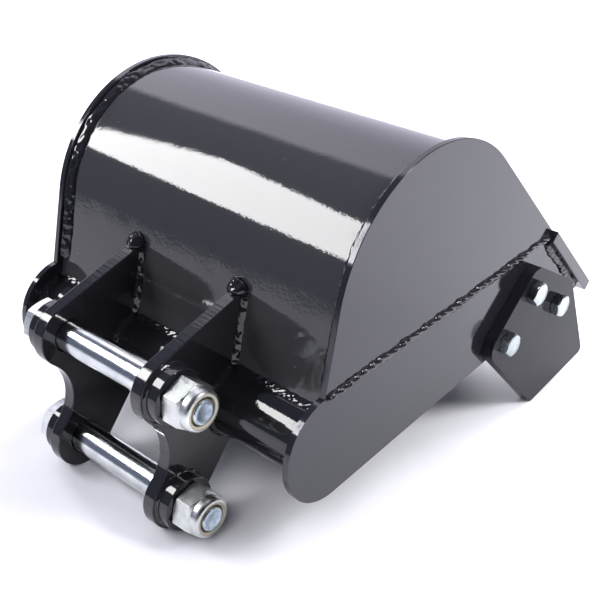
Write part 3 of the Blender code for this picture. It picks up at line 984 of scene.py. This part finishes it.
BOLT_RADIUS = 0.006
BOLT_FLATS = 0.018
BOLT_HEAD_LENGTH = 0.0076
BOLT_NUT_LENGTH = 0.010
BOLT_STICK_OUT = 0.003
BOLT_ANGLES = (8, 33, 19)
BOLT_PITCH = 0.00175
BOLT_CHAMFER = 0.0012
BOLT_FACETS = 96
THREAD_DEPTH = 0.0009
WASHER_RADIUS = 0.012
WASHER_THICKNESS = 0.0025
WASHER_FACETS = 72
CORNER_REACH = 1 / math.cos(math.radians(30))
FITTED_ROUNDING = 0.0003


def metal_finish_group():
    """The cloudy crystals of a plated coat, its fine turning marks along X, and its stains."""
    group, given, result = node_group(
        "metal_finish",
        (
            ("Clouds", "NodeSocketFloat", 30.0),
            ("Marks", "NodeSocketFloat", 900.0),
            ("Depth", "NodeSocketFloat", 0.00002),
        ),
        (("Cloud", "NodeSocketFloat"), ("Streak", "NodeSocketFloat"), ("Normal", "NodeSocketVector")),
    )
    nodes, links = group.nodes, group.links
    place = nodes.new("ShaderNodeTexCoord")
    cloud = nodes.new("ShaderNodeTexNoise")
    cloud.inputs["Detail"].default_value = 5
    cloud.inputs["Roughness"].default_value = 0.65
    links.new(given.outputs["Clouds"], cloud.inputs["Scale"])
    links.new(place.outputs["Object"], cloud.inputs["Vector"])
    stretch = nodes.new("ShaderNodeMapping")
    stretch.inputs["Scale"].default_value = (0.05, 1, 1)
    links.new(place.outputs["Object"], stretch.inputs["Vector"])
    streak = nodes.new("ShaderNodeTexNoise")
    streak.inputs["Detail"].default_value = 4
    links.new(given.outputs["Marks"], streak.inputs["Scale"])
    links.new(stretch.outputs["Vector"], streak.inputs["Vector"])
    grain = nodes.new("ShaderNodeTexNoise")
    grain.inputs["Scale"].default_value = 1300
    grain.inputs["Detail"].default_value = 2
    links.new(place.outputs["Object"], grain.inputs["Vector"])
    both = nodes.new("ShaderNodeMath")
    both.operation = "ADD"
    links.new(streak.outputs["Fac"], both.inputs[0])
    links.new(grain.outputs["Fac"], both.inputs[1])
    bump = nodes.new("ShaderNodeBump")
    links.new(given.outputs["Depth"], bump.inputs["Distance"])
    links.new(both.outputs[0], bump.inputs["Height"])
    links.new(cloud.outputs["Fac"], result.inputs["Cloud"])
    links.new(streak.outputs["Fac"], result.inputs["Streak"])
    links.new(bump.outputs["Normal"], result.inputs["Normal"])
    return group


def plated(name, bright, dull, smooth, rough, clouds, marks, depth):
    """Plated metal that goes in clouds from bright and smooth to dull and rough, with fine marks."""
    made = bpy.data.materials.new(name)
    made.use_nodes = True
    nodes, links = made.node_tree.nodes, made.node_tree.links
    shader = nodes["Principled BSDF"]
    shader.inputs["Metallic"].default_value = 1
    coat = nodes.new("ShaderNodeGroup")
    coat.node_tree = metal_finish
    coat.inputs["Clouds"].default_value = clouds
    coat.inputs["Marks"].default_value = marks
    coat.inputs["Depth"].default_value = depth
    patch = nodes.new("ShaderNodeMapRange")
    patch.inputs["From Min"].default_value = 0.35
    patch.inputs["From Max"].default_value = 0.65
    links.new(coat.outputs["Cloud"], patch.inputs["Value"])
    links.new(mix_colour(nodes, links, patch.outputs[0], bright, dull), shader.inputs["Base Color"])
    links.new(spread_value(nodes, links, patch.outputs[0], smooth, rough), shader.inputs["Roughness"])
    links.new(coat.outputs["Normal"], shader.inputs["Normal"])
    return made


metal_finish = metal_finish_group()
bolt_zinc = plated("bolt_zinc", (0.45, 0.49, 0.49), (0.34, 0.38, 0.39), 0.20, 0.32, 70, 500, 0.00003)


def between_sections(first, second, count):
    """Sections that run evenly from one to the next, so a cone cuts a hexagon in clean curves."""
    sections = []
    for i in range(count + 1):
        share = i / count
        x = first[0] + (second[0] - first[0]) * share
        sections.append((x, first[1] + (second[1] - first[1]) * share, first[2]))
    return sections


def thread(start, end, radius, pitch):
    """Sections of a screw thread: each is round, but swollen where the helix passes."""
    count = max(2, round(abs(end - start) / pitch * 8))
    sections = []
    for i in range(count + 1):
        x = start + (end - start) * i / count
        fade = min(1, min(i, count - i) / 6 + 0.2)

        def size(angle, x=x, fade=fade):
            turn = (x / pitch + angle / 360) % 1
            return radius - THREAD_DEPTH * fade * abs(2 * turn - 1)

        sections.append((x, size, 0))
    return sections


def fitted_piece(name, shape, replaced, finish=bolt_zinc, body="root"):
    """A piece that is fitted after painting, with its edges slightly rounded."""
    return hang(name, shape, finish, body, replaced, 35, FITTED_ROUNDING)


seat = HALF_WIDTH + CUTTER_THICKNESS + GAP
head_top = seat + BOLT_HEAD_LENGTH
washer_face = PLATE_INNER - GAP
washer_end = washer_face - WASHER_THICKNESS
nut_face = washer_end - GAP
nut_end = nut_face - BOLT_NUT_LENGTH
bolt_end = nut_end - BOLT_STICK_OUT
bolt_corner = BOLT_FLATS / 2 * CORNER_REACH
bolt_face = BOLT_FLATS / 2 - 0.0004

for word, side in SIDES:
    head = between_sections(
        (side * head_top, bolt_face, BOLT_FLATS),
        (side * (head_top - BOLT_CHAMFER), bolt_corner, BOLT_FLATS),
        6,
    )
    bolt = head + [
        (side * seat, bolt_corner, BOLT_FLATS),
        (side * seat, BOLT_RADIUS, 0),
        (side * washer_end, BOLT_RADIUS, 0),
    ]
    bolt += thread(side * (washer_end - 0.0002), side * bolt_end, BOLT_RADIUS, BOLT_PITCH)
    washer = (
        (side * washer_face, WASHER_RADIUS, 0),
        (side * washer_end, WASHER_RADIUS, 0),
        (side * washer_end, BOLT_HOLE_RADIUS, 0),
        (side * washer_face, BOLT_HOLE_RADIUS, 0),
    )
    nut = between_sections(
        (side * nut_face, bolt_face, BOLT_FLATS),
        (side * (nut_face - BOLT_CHAMFER), bolt_corner, BOLT_FLATS),
        5,
    )
    nut += between_sections(
        (side * (nut_end + BOLT_CHAMFER), bolt_corner, BOLT_FLATS),
        (side * nut_end, bolt_face, BOLT_FLATS),
        5,
    )
    nut += [(side * nut_end, BOLT_HOLE_RADIUS, 0), (side * nut_face, BOLT_HOLE_RADIUS, 0)]
    for i, centre in enumerate(BOLT_CENTRES):
        place = f"{word}_{i + 1}"
        angle = BOLT_ANGLES[i]
        made = turned(bolt, BOLT_FACETS, centre, angle)
        fitted_piece(f"bolt_{place}", made, [f"cutter_bolt_{place}"])
        made = turned(washer, WASHER_FACETS, centre, angle, hollow=True)
        fitted_piece(f"washer_{place}", made, [f"cutter_washer_{place}"])
        made = turned(nut, BOLT_FACETS, centre, angle, hollow=True)
        fitted_piece(f"nut_{place}", made, [f"cutter_nut_{place}"])


# The bucket pins: ground 25 mm shafts with a forged hexagon head on the left and a fine thread on
# the right, plated all over.

PIN_RADIUS = 0.0125
PIN_HEAD_FLATS = 0.0325
PIN_HEAD_LENGTH = 0.0125
PIN_HEAD_ANGLE = 10
PIN_HEAD_CHAMFER = 0.0018
PIN_FACETS = 120
THREAD_RADIUS = 0.0106
THREAD_END_RADIUS = 0.0090
PIN_PITCH = 0.0020
DIMPLE_RADIUS = 0.0062
DIMPLE_FLOOR_RADIUS = 0.0048
DIMPLE_DEPTH = 0.0008
LOCK_NUT_LENGTH = 0.0244

pin_chrome = plated("pin_chrome", (0.74, 0.76, 0.75), (0.52, 0.55, 0.56), 0.08, 0.18, 38, 260, 0.00008)
end_zinc = plated("end_zinc", (0.62, 0.70, 0.78), (0.34, 0.42, 0.50), 0.35, 0.55, 260, 300, 0.0001)
PINS = (("upper", UPPER_PIN_CENTRE), ("lower", LOWER_PIN_CENTRE))
pin_corner = PIN_HEAD_FLATS / 2 * CORNER_REACH
head_face = -BOSS_END - GAP
pin_head_top = head_face - PIN_HEAD_LENGTH
shoulder = BOSS_END - GAP
thread_end = BOSS_END + LOCK_NUT_LENGTH + 0.0006

for place, centre in PINS:
    pin = between_sections(
        (pin_head_top, PIN_HEAD_FLATS / 2 - 0.0006, PIN_HEAD_FLATS),
        (pin_head_top + PIN_HEAD_CHAMFER, pin_corner, PIN_HEAD_FLATS),
        6,
    )
    pin += [
        (head_face, pin_corner, PIN_HEAD_FLATS),
        (head_face, PIN_RADIUS, 0),
        (shoulder - 0.0014, PIN_RADIUS, 0),
        (shoulder, THREAD_RADIUS, 0),
    ]
    pin += thread(shoulder + 0.0002, thread_end - 0.0070, THREAD_RADIUS, PIN_PITCH)
    pin += [
        (thread_end - 0.0020, THREAD_RADIUS - THREAD_DEPTH, 0),
        (thread_end - 0.0004, THREAD_END_RADIUS, 0),
        (thread_end, THREAD_END_RADIUS - 0.0008, 0),
        (thread_end, DIMPLE_RADIUS, 0),
        (thread_end - DIMPLE_DEPTH, DIMPLE_FLOOR_RADIUS, 0),
    ]
    shape = turned(pin, PIN_FACETS, centre, PIN_HEAD_ANGLE)
    name = f"{place}_pin"
    piece = fitted_piece(f"{place}_shaft", shape, [name], pin_chrome, name)
    finish_faces(piece, end_zinc, True)


# The lock nuts: large zinc plated hexagon nuts with a round collar that is rolled over a nylon
# ring. The ring grips the thread, so that the nut can't work loose.

LOCK_NUT_FLATS = 0.033
LOCK_NUT_HEX = 0.0165
LOCK_NUT_CHAMFER = 0.0016
LOCK_NUT_COLLAR_RADIUS = 0.0158
LOCK_NUT_FACETS = 120
ROLL_HEIGHT = 0.0036
ROLL_WIDTH = 0.0028
NUT_ANGLES = {"upper": 25, "lower": 13}
RING_RADIUS = 0.0131
RING_LENGTH = 0.0055
RING_FACETS = 96

nut_zinc = plated("nut_zinc", (0.68, 0.70, 0.68), (0.56, 0.58, 0.56), 0.26, 0.42, 150, 700, 0.00006)
nut_corner = LOCK_NUT_FLATS / 2 * CORNER_REACH
nut_base = BOSS_END + GAP
hex_end = nut_base + LOCK_NUT_HEX
nut_top = nut_base + LOCK_NUT_LENGTH - 2 * GAP
ring_start = nut_top - RING_LENGTH
nut_bore = THREAD_RADIUS + GAP


def nylon_finish():
    """Undyed nylon, slightly see-through, with the marks of its moulding."""
    made = bpy.data.materials.new("natural_nylon")
    made.use_nodes = True
    nodes, links = made.node_tree.nodes, made.node_tree.links
    shader = nodes["Principled BSDF"]
    shader.inputs["Subsurface Weight"].default_value = 0.3
    shader.inputs["Subsurface Scale"].default_value = 0.001
    coat = nodes.new("ShaderNodeGroup")
    coat.node_tree = metal_finish
    coat.inputs["Clouds"].default_value = 220
    coat.inputs["Depth"].default_value = 0.00003
    colour = mix_colour(nodes, links, coat.outputs["Cloud"], (0.46, 0.43, 0.34), (0.36, 0.33, 0.26))
    links.new(colour, shader.inputs["Base Color"])
    links.new(spread_value(nodes, links, coat.outputs["Streak"], 0.32, 0.48), shader.inputs["Roughness"])
    links.new(coat.outputs["Normal"], shader.inputs["Normal"])
    return made


nylon = nylon_finish()

for place, centre in PINS:
    nut = between_sections(
        (nut_base, LOCK_NUT_FLATS / 2 - 0.0006, LOCK_NUT_FLATS),
        (nut_base + LOCK_NUT_CHAMFER, nut_corner, LOCK_NUT_FLATS),
        6,
    )
    nut += between_sections(
        (hex_end - 0.0018, nut_corner, LOCK_NUT_FLATS),
        (hex_end, LOCK_NUT_COLLAR_RADIUS + 0.0003, LOCK_NUT_FLATS),
        6,
    )
    for angle in range(0, 91, 15):
        roll = direction(angle)
        x = nut_top - ROLL_HEIGHT * (1 - roll.y)
        nut.append((x, LOCK_NUT_COLLAR_RADIUS - ROLL_WIDTH * (1 - roll.x), 0))
    nut += [
        (nut_top - 0.0004, RING_RADIUS + GAP, 0),
        (ring_start - GAP, RING_RADIUS + GAP, 0),
        (ring_start - GAP, nut_bore, 0),
        (nut_base, nut_bore, 0),
    ]
    shape = turned(nut, LOCK_NUT_FACETS, centre, NUT_ANGLES[place], hollow=True)
    fitted_piece(f"{place}_nut_body", shape, [f"{place}_lock_nut"], nut_zinc, f"{place}_nut")
    ring = (
        (ring_start, RING_RADIUS, 0),
        (nut_top - 0.0002, RING_RADIUS, 0),
        (nut_top - 0.0006, nut_bore, 0),
        (ring_start, nut_bore, 0),
    )
    shape = turned(ring, RING_FACETS, centre, hollow=True)
    ring_node = f"{place}_nylon_ring"
    fitted_piece(f"{place}_ring", shape, [ring_node], nylon, f"{place}_nut")
